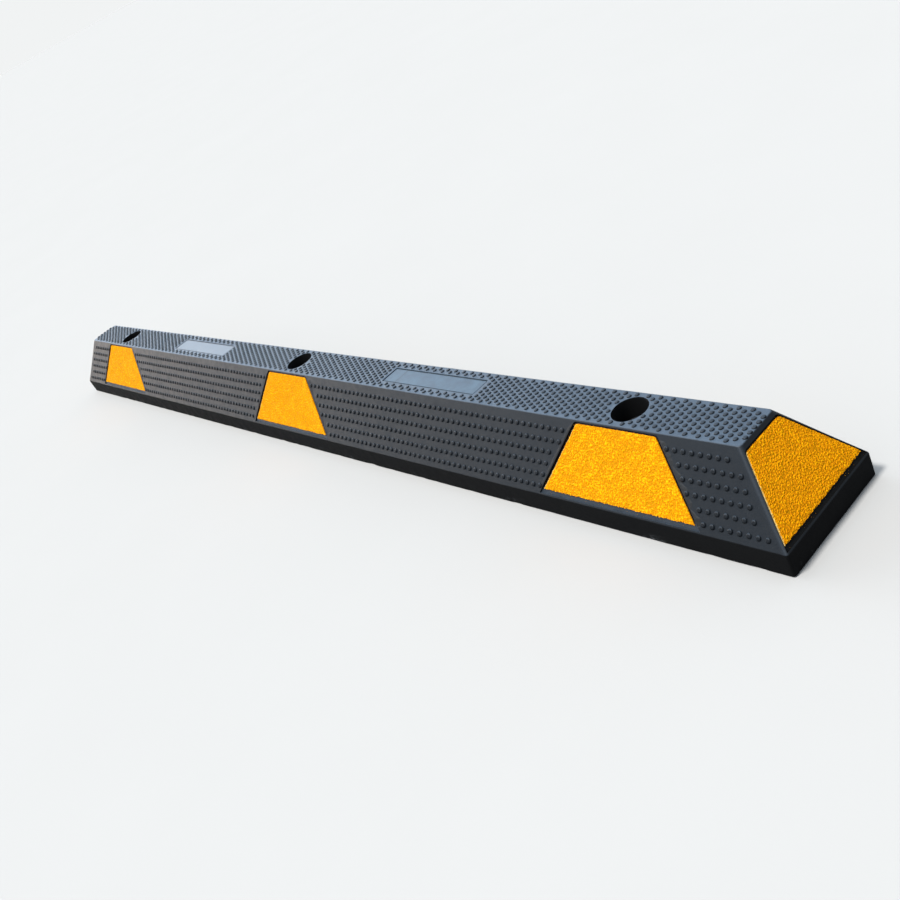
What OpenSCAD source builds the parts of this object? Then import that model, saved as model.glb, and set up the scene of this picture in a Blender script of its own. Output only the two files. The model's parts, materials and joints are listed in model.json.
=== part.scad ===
// Moulded rubber parking wheel stop with reflective sheets and bolt seats.
// Origin: centre of the base, on the ground. +X runs along the stop, +Z is up.

/* [Bar] */
// Overall length of the bar
bar_length = 1650; // [1600:10:1900]
// Width of the bar on the ground
bar_width = 140; // [130:1:160]
// Height of the bar
bar_height = 100; // [90:1:110]
// Height of the upright wall around the foot
plinth_height = 25.5; // [20:0.5:30]
// Width of the flat top
top_width = 53; // [50:1:60]
// Horizontal run of each end slope
end_run = 50; // [40:1:60]
// Radius of the four upright corners
corner_radius = 3; // [2:0.5:8]

/* [Bolt seats] */
// Distance from the middle anchor hole to each outer one
bolt_spacing = 630; // [600:5:660]
// Diameter of the round well above each seat
well_diameter = 39; // [38.5:0.5:42]
// Depth of the rubber seat below the top
seat_depth = 25; // [20:1:35]
// Diameter of the hole for the anchor
anchor_diameter = 20; // [14:0.5:22]
// Diameter of the seat washer
washer_diameter = 38; // [34:0.5:38]
// Thickness of the seat washer
washer_thickness = 3; // [2:0.5:5]

/* [Reflective sheets] */
// Width of a long-side sheet at its foot
side_sheet_foot = 196; // [150:1:200]
// Width of a long-side sheet at its head
side_sheet_head = 102; // [80:1:120]
// Distance from the top edge to a long-side sheet
side_head_gap = 4; // [3.5:0.5:7]
// How much narrower than the bar an end sheet's foot is, on each side
end_foot_inset = 6; // [6:0.5:10]
// How much narrower than the flat top an end sheet's head is, on each side
end_head_inset = 0.5; // [0.5:0.5:5]
// Distance from the top edge to an end sheet
end_head_gap = 7; // [6:0.5:12]
// Distance from the foot of the slope to a sheet
sheet_foot_gap = 7; // [6:0.5:9]
// Radius of a sheet's two upper corners
sheet_corner = 5; // [2:0.5:8]
// Thickness of the beaded sheet
sheet_thickness = 1.2; // [0.8:0.1:1.2]
// Thickness of the carrier film under the sheet
film_thickness = 0.5; // [0.3:0.1:0.6]
// Distance that the film shows around the sheet
film_margin = 0.5; // [0.3:0.1:0.8]

/* [Sheet recesses] */
// Depth of a recess
recess_depth = 2; // [1.8:0.1:3]
// Gap beside a long-side sheet in its recess
side_recess_gap = 3.5; // [1.5:0.5:5]
// Gap beside an end sheet in its recess
end_recess_gap = 1.3; // [1:0.1:1.3]
// Gap below a sheet in its recess
recess_foot_gap = 5; // [2:0.5:5]
// Gap above a sheet in its recess
recess_head_gap = 2; // [1:0.5:3]

/* [Top pads] */
// Length of each smooth pad on the top
pad_length = 180; // [120:5:200]
// Width of each smooth pad
pad_width = 28; // [20:1:34]
// Depth of each pad below the top
pad_depth = 0.6; // [0.4:0.1:1.5]
// Corner radius of each pad
pad_corner = 2; // [1:0.5:4]

/* [Underside] */
// Depth of the hollows under the bar
hollow_depth = 40; // [20:1:45]
// Width of the hollows
hollow_width = 84; // [60:1:90]
// Corner radius of the hollows
hollow_corner = 8; // [4:1:12]
// Half the length of solid rubber around each anchor hole
boss_half_length = 30; // [26:1:36]
// Thickness of the ribs between hollows
rib_thickness = 14; // [10:1:20]
// Number of hollows between two anchor holes
hollows_per_bay = 5; // [3:1:6]
// Length of solid rubber at each end of the bar
end_wall = 60; // [50:1:70]

/* [Hidden] */
$fn = 64;
// Small overlap that lets a cut pass cleanly through a face
cut_through = 1;

half_length = bar_length / 2;
half_width = bar_width / 2;
slope_rise = bar_height - plinth_height;
side_run = (bar_width - top_width) / 2;
side_slope_length = sqrt(slope_rise * slope_rise + side_run * side_run);
side_slope_angle = atan2(slope_rise, side_run);
end_slope_length = sqrt(slope_rise * slope_rise + end_run * end_run);
end_slope_angle = atan2(slope_rise, end_run);

end_sheet_foot = bar_width - 2 * end_foot_inset;
end_sheet_head = top_width - 2 * end_head_inset;
side_sheet_height = side_slope_length - sheet_foot_gap - side_head_gap;
end_sheet_height = end_slope_length - sheet_foot_gap - end_head_gap;

seat_height = bar_height - seat_depth;
pad_centre = bolt_spacing / 2;

bay_length = bolt_spacing - 2 * boss_half_length;
bay_hollow = (bay_length - (hollows_per_bay - 1) * rib_thickness) / hollows_per_bay;
end_hollow = half_length - end_wall - bolt_spacing - boss_half_length;

// The four slopes, as turns about the upright axis
front = 0;
right = 90;
back = 180;
left = 270;

RUBBER = [0.09, 0.10, 0.11];
SHEET = [0.98, 0.65, 0.05];
FILM = [0.93, 0.91, 0.84];
STEEL = [0.30, 0.31, 0.32];

// A rectangle centred on the origin with four rounded corners
module rounded_rectangle(size_x, size_y, radius) {
    square([size_x - 2 * radius, size_y], center = true);
    square([size_x, size_y - 2 * radius], center = true);
    for (sx = [-1, 1], sy = [-1, 1]) {
        translate([sx * (size_x / 2 - radius), sy * (size_y / 2 - radius)]) circle(radius);
    }
}

// A trapezoid standing on the X axis, wide at the foot, with its two upper corners rounded
module trapezoid(foot, head, height, radius) {
    leg_angle = atan2(height, (foot - head) / 2);
    tangent = radius * tan(leg_angle / 2);
    corner_x = tangent * cos(leg_angle);
    corner_y = tangent * sin(leg_angle);
    polygon([
        [-foot / 2, 0],
        [foot / 2, 0],
        [head / 2 + corner_x, height - corner_y],
        [head / 2 - tangent, height],
        [-head / 2 + tangent, height],
        [-head / 2 - corner_x, height - corner_y]
    ]);
    for (side = [-1, 1]) {
        translate([side * (head / 2 - tangent), height - radius]) circle(radius);
    }
}

// The outline of a sheet on the X axis, grown to the sides, downwards and upwards
module sheet_outline(turn, side_gap, foot_gap, head_gap) {
    is_end = turn == right || turn == left;
    foot = is_end ? end_sheet_foot : side_sheet_foot;
    head = is_end ? end_sheet_head : side_sheet_head;
    height = is_end ? end_sheet_height : side_sheet_height;
    spread = (foot - head) / height;
    translate([0, sheet_foot_gap - foot_gap]) {
        trapezoid(
            foot + 2 * side_gap + spread * foot_gap,
            head + 2 * side_gap - spread * head_gap,
            height + foot_gap + head_gap,
            sheet_corner
        );
    }
}

// Places children on a slope: X along its foot, Y up the slope, Z out of the rubber
module on_slope(turn, along) {
    is_end = turn == right || turn == left;
    reach = is_end ? half_length : half_width;
    angle = is_end ? end_slope_angle : side_slope_angle;
    rotate([0, 0, turn]) {
        translate([along, -reach, plinth_height]) rotate([angle, 0, 0]) children();
    }
}

// Outline of the bar from one side: upright plinth, sloped sides, flat top
module sloped_section(width, run) {
    polygon([
        [-width / 2, 0],
        [width / 2, 0],
        [width / 2, plinth_height],
        [width / 2 - run, bar_height],
        [-width / 2 + run, bar_height],
        [-width / 2, plinth_height]
    ]);
}

// The bar before anything is cut from it
module bar_block() {
    intersection() {
        rotate([90, 0, 90]) {
            linear_extrude(bar_length, center = true) sloped_section(bar_width, side_run);
        }
        rotate([90, 0, 0]) {
            linear_extrude(bar_width, center = true) sloped_section(bar_length, end_run);
        }
        linear_extrude(bar_height) rounded_rectangle(bar_length, bar_width, corner_radius);
    }
}

// The space cut into a slope for one film and sheet
module recess(turn, along) {
    gap = turn == right || turn == left ? end_recess_gap : side_recess_gap;
    on_slope(turn, along) {
        translate([0, 0, -recess_depth]) {
            linear_extrude(recess_depth + cut_through) {
                sheet_outline(turn, gap, recess_foot_gap, recess_head_gap);
            }
        }
    }
}

// The round well and the anchor hole at one bolt position
module bolt_well(x) {
    translate([x, 0, seat_height]) cylinder(h = seat_depth + cut_through, d = well_diameter);
    translate([x, 0, -cut_through]) cylinder(h = bar_height, d = anchor_diameter);
}

// One smooth pad sunk into the top
module pad(x) {
    translate([x, 0, bar_height - pad_depth]) {
        linear_extrude(pad_depth + cut_through) {
            rounded_rectangle(pad_length, pad_width, pad_corner);
        }
    }
}

// One hollow under the bar, from x towards +X
module hollow(x, length) {
    translate([x + length / 2, 0, -cut_through]) {
        linear_extrude(hollow_depth + cut_through) {
            rounded_rectangle(length, hollow_width, hollow_corner);
        }
    }
}

// The hollows under the half of the bar on the +X side
module half_hollows() {
    for (i = [0 : hollows_per_bay - 1]) {
        hollow(boss_half_length + i * (bay_hollow + rib_thickness), bay_hollow);
    }
    hollow(bolt_spacing + boss_half_length, end_hollow);
}

module rubber_body() {
    color(RUBBER)
    difference() {
        bar_block();
        for (side = [-1, 0, 1]) {
            bolt_well(side * bolt_spacing);
            recess(front, side * bolt_spacing);
            recess(back, side * bolt_spacing);
        }
        recess(right, 0);
        recess(left, 0);
        pad(-pad_centre);
        pad(pad_centre);
        half_hollows();
        rotate([0, 0, 180]) half_hollows();
    }
}

// The pale film on the floor of a recess
module film(turn, along) {
    color(FILM)
    on_slope(turn, along) {
        translate([0, 0, -recess_depth]) {
            linear_extrude(film_thickness) {
                sheet_outline(turn, film_margin, film_margin, film_margin);
            }
        }
    }
}

// The beaded sheet on top of its film
module sheet(turn, along) {
    color(SHEET)
    on_slope(turn, along) {
        translate([0, 0, film_thickness - recess_depth]) {
            linear_extrude(sheet_thickness) sheet_outline(turn, 0, 0, 0);
        }
    }
}

// The ring that spreads the anchor's load over the rubber seat
module seat_washer(x) {
    color(STEEL)
    translate([x, 0, seat_height])
    difference() {
        cylinder(h = washer_thickness, d = washer_diameter);
        translate([0, 0, -cut_through]) {
            cylinder(h = washer_thickness + 2 * cut_through, d = anchor_diameter);
        }
    }
}

rubber_body();

sheet(front, -bolt_spacing);  // front_sheet_left
sheet(front, 0);  // front_sheet_centre
sheet(front, bolt_spacing);  // front_sheet_right
sheet(back, bolt_spacing);  // back_sheet_left
sheet(back, 0);  // back_sheet_centre
sheet(back, -bolt_spacing);  // back_sheet_right
sheet(left, 0);  // end_sheet_left
sheet(right, 0);  // end_sheet_right

film(front, -bolt_spacing);  // front_film_left
film(front, 0);  // front_film_centre
film(front, bolt_spacing);  // front_film_right
film(back, bolt_spacing);  // back_film_left
film(back, 0);  // back_film_centre
film(back, -bolt_spacing);  // back_film_right
film(left, 0);  // end_film_left
film(right, 0);  // end_film_right

seat_washer(-bolt_spacing);  // seat_washer_left
seat_washer(0);  // seat_washer_centre
seat_washer(bolt_spacing);  // seat_washer_right
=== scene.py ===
import json
import math
import random

import bmesh
import bpy
from mathutils import Matrix, Vector, noise


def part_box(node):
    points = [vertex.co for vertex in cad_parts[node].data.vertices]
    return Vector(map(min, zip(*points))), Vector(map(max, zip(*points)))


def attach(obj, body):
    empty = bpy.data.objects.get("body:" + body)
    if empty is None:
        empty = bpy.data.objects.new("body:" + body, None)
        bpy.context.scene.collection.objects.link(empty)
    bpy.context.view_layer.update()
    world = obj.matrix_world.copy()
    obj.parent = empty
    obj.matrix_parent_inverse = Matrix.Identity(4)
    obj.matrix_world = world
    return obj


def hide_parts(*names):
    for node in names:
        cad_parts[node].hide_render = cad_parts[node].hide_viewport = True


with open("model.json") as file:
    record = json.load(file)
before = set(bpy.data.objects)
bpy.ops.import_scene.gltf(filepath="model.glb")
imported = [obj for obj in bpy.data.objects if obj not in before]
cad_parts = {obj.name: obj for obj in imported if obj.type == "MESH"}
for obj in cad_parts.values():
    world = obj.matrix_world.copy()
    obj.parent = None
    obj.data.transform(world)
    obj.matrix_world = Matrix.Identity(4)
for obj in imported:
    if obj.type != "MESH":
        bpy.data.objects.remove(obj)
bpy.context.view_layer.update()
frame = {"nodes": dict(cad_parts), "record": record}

# Lengths below are in millimetres; pieces are scaled to metres when they are made.
MM = 0.001
# The one body of a bar without joints
ROOT = "root"
rng = random.Random(7)

# The four slopes, as turns about the upright axis
FRONT, RIGHT, BACK, LEFT = (math.radians(a) for a in (0, 90, 180, 270))
ENDS = (RIGHT, LEFT)
# A length too small to see
TINY = 0.01

# ---- sizes read from the frame


def corners(node):
    """The lowest and highest corners of a CAD node."""
    low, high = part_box(node)
    return low / MM, high / MM


body_high = corners("rubber_body")[1]
half_length = body_high.x
half_width = body_high.y
top = body_high.z
shell = [v.co / MM for v in frame["nodes"]["rubber_body"].data.vertices]
plinth = max(p.z for p in shell if abs(p.y) > half_width - TINY)
top_half_length = max(abs(p.x) for p in shell if p.z > top - TINY)
top_half_width = max(abs(p.y) for p in shell if p.z > top - TINY)
rise = top - plinth
corner_radius = half_width - max(abs(p.y) for p in shell if abs(p.x) > half_length - TINY)
side_run = half_width - top_half_width
end_run = half_length - top_half_length
side_slope = math.hypot(rise, side_run)

seat = corners("seat_washer_centre")[0].z
well_radius = max(abs(p.x) for p in shell if abs(p.x) < half_width / 2 and p.z > top - TINY)
mounts = {m["name"]: m for m in frame["record"]["mounts"]}
bore_radius = mounts["anchor_centre"]["dims"]["r_mm"]
anchor_places = [m["pos_m"][0] / MM for m in mounts.values() if m["name"].startswith("anchor")]
spacing = max(anchor_places)


def slope_matrix(turn, along):
    """The frame of a slope: X along its foot, Y up the slope, Z out of the rubber."""
    is_end = turn in ENDS
    reach = half_length if is_end else half_width
    angle = math.atan2(rise, end_run if is_end else side_run)
    place = Matrix.Translation((along, -reach, plinth))
    return Matrix.Rotation(turn, 4, "Z") @ place @ Matrix.Rotation(angle, 4, "X")


class Outline:
    """A sheet's trapezoid in the frame of its slope, read from its CAD node."""

    def __init__(self, node, matrix):
        turn_back = matrix.inverted()
        points = [turn_back @ (v.co / MM) for v in frame["nodes"][node].data.vertices]
        self.low = min(p.y for p in points)
        self.high = max(p.y for p in points)
        self.under = min(p.z for p in points)
        self.over = max(p.z for p in points)
        self.foot = max(p.x for p in points if p.y < self.low + TINY)
        leg_end = min((p for p in points if p.y > self.low + TINY and p.x > 0), key=lambda p: p.y)
        self.lean = (self.foot - leg_end.x) / (leg_end.y - self.low)
        self.head = self.foot - self.lean * (self.high - self.low)
        flat = max(p.x for p in points if p.y > self.high - TINY)
        self.leg_angle = math.atan2(1, self.lean)
        self.radius = (self.head - flat) / math.tan(self.leg_angle / 2)

    def leg(self, y):
        """The distance from the middle to the straight leg at height y."""
        return self.foot - self.lean * (y - self.low)

    def half(self, y):
        """Half the width at height y, with the upper corner rounded."""
        centre_y = self.high - self.radius
        centre_x = self.head - self.radius * math.tan(self.leg_angle / 2)
        if y <= centre_y + self.radius * math.cos(self.leg_angle):
            return self.leg(y)
        return centre_x + math.sqrt(max(self.radius ** 2 - (y - centre_y) ** 2, 0))


# ---- mesh helpers


def piece(name, points, faces, materials, slot, smooth=True, indices=None):
    """Makes an object from points in millimetres; with a slot it rides on the bar."""
    mesh = bpy.data.meshes.new(name)
    mesh.from_pydata([Vector(p) * MM for p in points], [], faces)
    for material in materials:
        mesh.materials.append(material)
    if indices:
        mesh.polygons.foreach_set("material_index", indices)
    mesh.polygons.foreach_set("use_smooth", [smooth] * len(mesh.polygons))
    mesh.update()
    made = bpy.data.objects.new(name, mesh)
    bpy.context.scene.collection.objects.link(made)
    if slot:
        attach(made, ROOT)
    return made


def wobble(point, size, seed=0.0):
    """Smooth noise from -1 to 1 with features of about the given size."""
    return noise.noise(Vector(point) / size + Vector((seed, 3.1 * seed, 7.7 * seed)))


def smoothstep(low, high, value):
    """Goes smoothly from 0 at low to 1 at high."""
    t = min(max((value - low) / (high - low), 0), 1)
    return t * t * (3 - 2 * t)


def strip(first, second, count):
    """Quads that join two closed rings of points by their first indices."""
    return [
        (first + i, first + (i + 1) % count, second + (i + 1) % count, second + i)
        for i in range(count)
    ]


def lathe(profile, segments, centre=(0, 0), ragged=None):
    """Turns a closed profile of (radius, height) about an upright axis, as a closed ring.

    ragged(angle, height) is added to the radius of the points that aren't on the axis.
    """
    points, faces = [], []
    for radius, height in profile:
        for i in range(segments):
            angle = 2 * math.pi * i / segments
            grown = radius + (ragged(angle, height) if ragged and radius > TINY else 0)
            x = centre[0] + grown * math.cos(angle)
            y = centre[1] + grown * math.sin(angle)
            points.append((x, y, height))
    rows = len(profile)
    for row in range(rows):
        faces += strip(row * segments, (row + 1) % rows * segments, segments)
    return points, faces


class Shape:
    """Collects several closed meshes, with a material index for each, into one."""

    def __init__(self):
        self.points, self.faces, self.indices = [], [], []

    def add(self, points, faces, index=0):
        start = len(self.points)
        self.points += points
        self.faces += [tuple(start + i for i in face) for face in faces]
        self.indices += [index] * len(faces)


def prism(outline, low, high, matrix=None, shrink=0.0):
    """A closed prism over an outline of (x, y) points; its upper end may be a little smaller."""
    count = len(outline)
    centre = Vector((sum(p[0] for p in outline), sum(p[1] for p in outline))) / count
    points = [Vector((x, y, low)) for x, y in outline]
    for x, y in outline:
        outward = Vector((x, y)) - centre
        px = x - shrink * math.copysign(1, outward.x)
        py = y - shrink * math.copysign(1, outward.y)
        points.append(Vector((px, py, high)))
    faces = strip(0, count, count)
    faces.append(tuple(reversed(range(count))))
    faces.append(tuple(range(count, 2 * count)))
    if matrix:
        points = [matrix @ p for p in points]
    return [tuple(p) for p in points], faces


def rounded_rectangle(x, y, half_x, half_y, radius, steps=6):
    """Points of a rounded rectangle centred on x and y, anticlockwise."""
    points = []
    for quarter, (sx, sy) in enumerate(((1, -1), (1, 1), (-1, 1), (-1, -1))):
        start = -math.pi / 2 + quarter * math.pi / 2
        for i in range(steps + 1):
            angle = start + math.pi / 2 * i / steps
            px = x + sx * (half_x - radius) + radius * math.cos(angle)
            py = y + sy * (half_y - radius) + radius * math.sin(angle)
            points.append((px, py))
    return points


# ---- material helpers


class Graph:
    """A small helper that adds nodes to a node tree."""

    def __init__(self, tree):
        self.nodes = tree.nodes
        self.links = tree.links

    def node(self, kind, values=None, **settings):
        made = self.nodes.new("ShaderNode" + kind)
        for name, value in settings.items():
            setattr(made, name, value)
        for name, value in (values or {}).items():
            self.put(made.inputs[name], value)
        return made

    def put(self, socket, value):
        if isinstance(value, bpy.types.NodeSocket):
            self.links.new(value, socket)
        else:
            socket.default_value = value

    def ramp(self, value, low, high, start=0.0, end=1.0):
        """Maps value from low..high to start..end, clamped."""
        values = {"Value": value, "From Min": low, "From Max": high, "To Min": start, "To Max": end}
        return self.node("MapRange", values).outputs[0]

    def mix(self, factor, first, second, blend="MIX"):
        """Mixes two colours, each a socket or a value."""
        made = self.node("Mix", data_type="RGBA", blend_type=blend)
        self.put(made.inputs[0], factor)
        self.put(made.inputs[6], first)
        self.put(made.inputs[7], second)
        return made.outputs[2]

    def math(self, operation, first, second):
        return self.node("Math", {0: first, 1: second}, operation=operation).outputs[0]


class MaterialGraph(Graph):
    """The node tree of a new material."""

    def __init__(self, name):
        self.material = bpy.data.materials.new(name)
        self.material.use_nodes = True
        super().__init__(self.material.node_tree)
        self.surface = self.nodes["Principled BSDF"]
        self.place = self.node("TexCoord").outputs["Object"]

    def noise(self, size, detail=3.0, rough=0.5, stretch=(1, 1, 1)):
        """Noise whose features are about size millimetres across."""
        scaled = self.node("Mapping", {"Vector": self.place, "Scale": stretch})
        values = {"Vector": scaled.outputs[0], "Scale": 1 / (size * MM),
                  "Detail": detail, "Roughness": rough}
        return self.node("TexNoise", values).outputs["Fac"]

    def along(self, axis):
        """The place on the object along X, Y or Z, in metres."""
        return self.node("SeparateXYZ", {0: self.place}).outputs[axis]

    def bump(self, height, depth, strength=1.0, normal=None):
        """Bump whose height runs over depth millimetres."""
        values = {"Height": height, "Distance": depth * MM, "Strength": strength}
        if normal:
            values["Normal"] = normal
        return self.node("Bump", values).outputs[0]

    def facing(self):
        """The parts of the surface's direction: along the bar, across it and up."""
        normal = self.node("NewGeometry").outputs["Normal"]
        parts = self.node("SeparateXYZ", {0: normal}).outputs
        along = self.math("ABSOLUTE", parts["X"], 0.0)
        across = self.math("ABSOLUTE", parts["Y"], 0.0)
        return along, across, parts["Z"]

    def finish(self, color, roughness, normal=None, **others):
        """Sets the surface's inputs and returns the material."""
        self.put(self.surface.inputs["Base Color"], color)
        self.put(self.surface.inputs["Roughness"], roughness)
        if normal:
            self.put(self.surface.inputs["Normal"], normal)
        for name, value in others.items():
            self.put(self.surface.inputs[name.replace("_", " ")], value)
        return self.material


def rgb(red, green, blue):
    """An opaque colour."""
    return (red, green, blue, 1.0)


BLACK = rgb(0.0036, 0.0050, 0.0068)
# The bluish colour painted on rubber where it faces the light: a painted sheen
PAINTED_SHEEN = rgb(0.067, 0.094, 0.127)
# How far from a ridge the band of painted highlight along it starts, and where it is at its full
# strength
BAND_START = 8
BAND_FULL = 2
# Heights above the plinth between which the painted sheen below a sheet fades away
LEDGE_FADE_LOW = 5
LEDGE_FADE_HIGH = 9
# Depths below the top between which the painted shade in a pad's groove fades away
GROOVE_DARK = 0.95
GROOVE_CLEAR = 0.70
# The place along the bar of a faint line across the right pad
PAD_LINE = 251
# The width of the grains of the coating
GRAIN = 1.05


def painted_ridge_highlight(g):
    """A band of painted highlight on the long slopes, along the ridges they share with the end
    slopes.
    """
    lean = end_run / rise
    from_middle = g.math("ABSOLUTE", g.along("X"), 0.0)
    reach = g.math("ADD", from_middle, g.math("MULTIPLY", g.along("Z"), lean))
    ridge = half_length + plinth * lean
    return g.ramp(reach, (ridge - BAND_START) * MM, (ridge - BAND_FULL) * MM, 0.0, 0.20)


def moulded_rubber(name, dark, sheen_color, amount, rough, shine=0.295):
    """Black rubber with a bluish painted sheen on what faces up, much less of it on the end faces as
    painted shade, painted highlights on and beside the ridges, mould grain and dust.
    """
    g = MaterialGraph(name)
    along, across, up = g.facing()
    mottle = g.noise(28, 4, 0.6)
    fine = g.noise(1.6, 4, 0.65)
    specks = g.noise(0.9, 2, 0.5)
    streaks = g.noise(22, 5, 0.7, stretch=(0.12, 1, 1))
    # Painted sheen: the more a surface faces up, the more of the bluish colour it gets
    flat_top = g.math("POWER", g.ramp(up, 0.12, 0.99), 3.0)
    # Painted highlight on the rounded ridges between the slopes
    ridge = g.ramp(g.math("MINIMUM", along, across), 0.12, 0.42, 0.0, 0.30)
    # Painted shade: surfaces facing along the bar, the end faces, get much less of the painted sheen
    end_face = g.ramp(along, 0.25, 0.75, 1.0, 0.15)
    facing = g.math("MULTIPLY", g.math("MAXIMUM", flat_top, ridge), end_face)
    on_ridge = g.math("MULTIPLY", ridge, g.ramp(along, 0.32, 0.60, 1.0, 0.0))
    facing = g.math("MAXIMUM", facing, on_ridge)
    # Painted highlight beside the ridges, on the long slopes
    beside_ridge = g.math("MULTIPLY", painted_ridge_highlight(g), g.ramp(across, 0.55, 0.75))
    facing = g.math("MAXIMUM", facing, beside_ridge)
    facing = g.math("MULTIPLY", facing, amount)
    patchy_sheen = g.math("MULTIPLY", facing, g.ramp(mottle, 0.25, 0.75, 0.80, 1.14))
    patchy_sheen = g.math("MULTIPLY", patchy_sheen, g.ramp(g.noise(0.8, 4, 0.7), 0.36, 0.64, 0.72, 1.18))
    color = g.mix(patchy_sheen, dark, sheen_color)
    dust = g.math("MULTIPLY", g.ramp(streaks, 0.56, 0.80, 0.0, 0.10), g.ramp(fine, 0.4, 0.7))
    color = g.mix(dust, color, rgb(0.16, 0.165, 0.165))
    color = g.mix(g.ramp(specks, 0.72, 0.80, 0.0, 0.22), color, rgb(0.20, 0.20, 0.19))
    roughness = g.ramp(g.noise(9, 4, 0.6), 0.3, 0.7, rough - 0.06, rough + 0.08)
    normal = g.bump(g.noise(14, 2, 0.5), 0.22, 0.6)
    normal = g.bump(fine, 0.09, 1.0, normal)
    normal = g.bump(specks, 0.03, 1.0, normal)
    return g.finish(color, roughness, normal, Specular_IOR_Level=shine)


def hidden_rubber():
    """Matt black rubber for the wells, the hollows and the recesses in the ends."""
    g = MaterialGraph("rubber_black")
    fine = g.noise(1.4, 4, 0.65)
    dust = g.ramp(g.noise(6, 5, 0.7), 0.60, 0.80, 0.0, 0.35)
    color = g.mix(g.noise(12, 3, 0.5), rgb(0.0028, 0.0028, 0.0028), rgb(0.0055, 0.0055, 0.0055))
    color = g.mix(dust, color, rgb(0.022, 0.021, 0.019))
    normal = g.bump(fine, 0.10, 1.0)
    roughness = g.ramp(g.noise(8, 3, 0.5), 0.3, 0.7, 0.66, 0.80)
    return g.finish(color, roughness, normal, Specular_IOR_Level=0.16)


def ledge_rubber():
    """The side sheets' recesses: black beside the sheet, with a painted sheen on the strip below it.
    """
    g = MaterialGraph("rubber_ledge")
    up = g.facing()[2]
    low_down = g.ramp(g.along("Z"), (plinth + LEDGE_FADE_HIGH) * MM, (plinth + LEDGE_FADE_LOW) * MM)
    # Painted sheen on the strip below the sheet, where the recess faces up into the light
    amount = g.math("MULTIPLY", g.ramp(up, 0.55, 0.90, 0.30, 0.62), low_down)
    amount = g.math("MULTIPLY", amount, g.ramp(g.noise(7, 4, 0.65), 0.3, 0.7, 0.75, 1.2))
    color = g.mix(amount, rgb(0.0036, 0.0040, 0.0046), PAINTED_SHEEN)
    shine = g.ramp(low_down, 0.0, 1.0, 0.16, 0.31)
    roughness = g.ramp(g.noise(8, 3, 0.5), 0.3, 0.7, 0.50, 0.66)
    normal = g.bump(g.noise(1.4, 4, 0.65), 0.10, 1.0)
    return g.finish(color, roughness, normal, Specular_IOR_Level=shine)


def scuffed_rubber():
    """The upright plinth: a darker black than the other rubber as painted shade, with pale scrapes
    low down.
    """
    g = MaterialGraph("rubber_plinth")
    low_down = g.ramp(g.along("Z"), 10 * MM, 1 * MM)
    patches = g.ramp(g.noise(30, 5, 0.65, stretch=(0.5, 1, 1)), 0.58, 0.68)
    scratches = g.ramp(g.noise(2.2, 4, 0.7, stretch=(0.35, 0.35, 1.2)), 0.48, 0.60)
    scuff = g.math("MULTIPLY", g.math("MULTIPLY", patches, scratches), low_down)
    # Painted shade: the plinth's black is a little darker and less blue than the slopes'
    color = g.mix(g.noise(25, 3, 0.5), rgb(0.0025, 0.0026, 0.0028), rgb(0.0055, 0.0057, 0.006))
    color = g.mix(g.ramp(scuff, 0.0, 1.0, 0.0, 0.85), color, rgb(0.13, 0.135, 0.14))
    roughness = g.ramp(g.noise(12, 4, 0.6), 0.3, 0.7, 0.44, 0.58)
    normal = g.bump(g.noise(16, 3, 0.5), 0.25, 0.6)
    normal = g.bump(g.noise(1.8, 4, 0.6), 0.09, 1.0, normal)
    normal = g.bump(scuff, 0.25, 1.0, normal)
    return g.finish(color, roughness, normal, Specular_IOR_Level=0.20)


def beaded_coating():
    """Amber coating: burnt-orange grains in clusters; by height it runs from dark olive in the
    hollows to pale yellow on the bead tops, partly the coating's own tone and partly painted shade
    and painted highlight.
    """
    g = MaterialGraph("beaded_coating")
    height = g.node("Attribute", attribute_name="bead").outputs["Fac"]
    cells = g.node("TexVoronoi", {"Vector": g.place, "Scale": 1 / (GRAIN * MM), "Randomness": 1.0})
    dome = g.ramp(cells.outputs["Distance"], 0.05, 0.75, 1.0, 0.0)
    fine = g.noise(0.4, 3, 0.6)
    patches = g.noise(14, 4, 0.6)
    lift = g.math("ADD", g.math("MULTIPLY", height, 0.75), g.math("MULTIPLY", dome, 0.40))
    lift = g.math("ADD", lift, g.ramp(fine, 0.3, 0.7, -0.12, 0.12))
    # Colour by height: darker in the hollows as painted shade, paler on the tops as painted
    # highlight, over the coating's own amber
    color = g.mix(g.ramp(lift, 0.24, 0.44), rgb(0.54, 0.250, 0.001), rgb(0.78, 0.250, 0.001))
    color = g.mix(g.ramp(lift, 0.46, 0.72), color, rgb(0.97, 0.415, 0.001))
    color = g.mix(g.ramp(lift, 0.78, 1.00), color, rgb(1.0, 0.56, 0.002))
    burnt = g.math("MULTIPLY", g.ramp(g.noise(1.3, 3, 0.6), 0.50, 0.66, 0.0, 0.6),
                   g.ramp(patches, 0.35, 0.65, 0.55, 1.0))
    color = g.mix(burnt, color, rgb(0.80, 0.185, 0.001))
    pale = g.ramp(g.noise(0.8, 2, 0.5), 0.77, 0.82, 0.0, 0.5)
    color = g.mix(pale, color, rgb(0.95, 0.50, 0.10))
    normal = g.bump(dome, 0.42, 0.9)
    normal = g.bump(fine, 0.08, 1.0, normal)
    roughness = g.ramp(g.noise(3, 3, 0.5), 0.3, 0.7, 0.52, 0.70)
    return g.finish(color, roughness, normal, Specular_IOR_Level=0.04)


def cut_edge():
    """The pale core of a sheet where it was cut."""
    g = MaterialGraph("sheet_cut_edge")
    patches = g.ramp(g.noise(1.2, 4, 0.6), 0.35, 0.6)
    color = g.mix(patches, rgb(0.60, 0.34, 0.03), rgb(0.74, 0.54, 0.20))
    normal = g.bump(g.noise(0.7, 3, 0.6), 0.12, 1.0)
    return g.finish(color, 0.75, normal)


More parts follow.
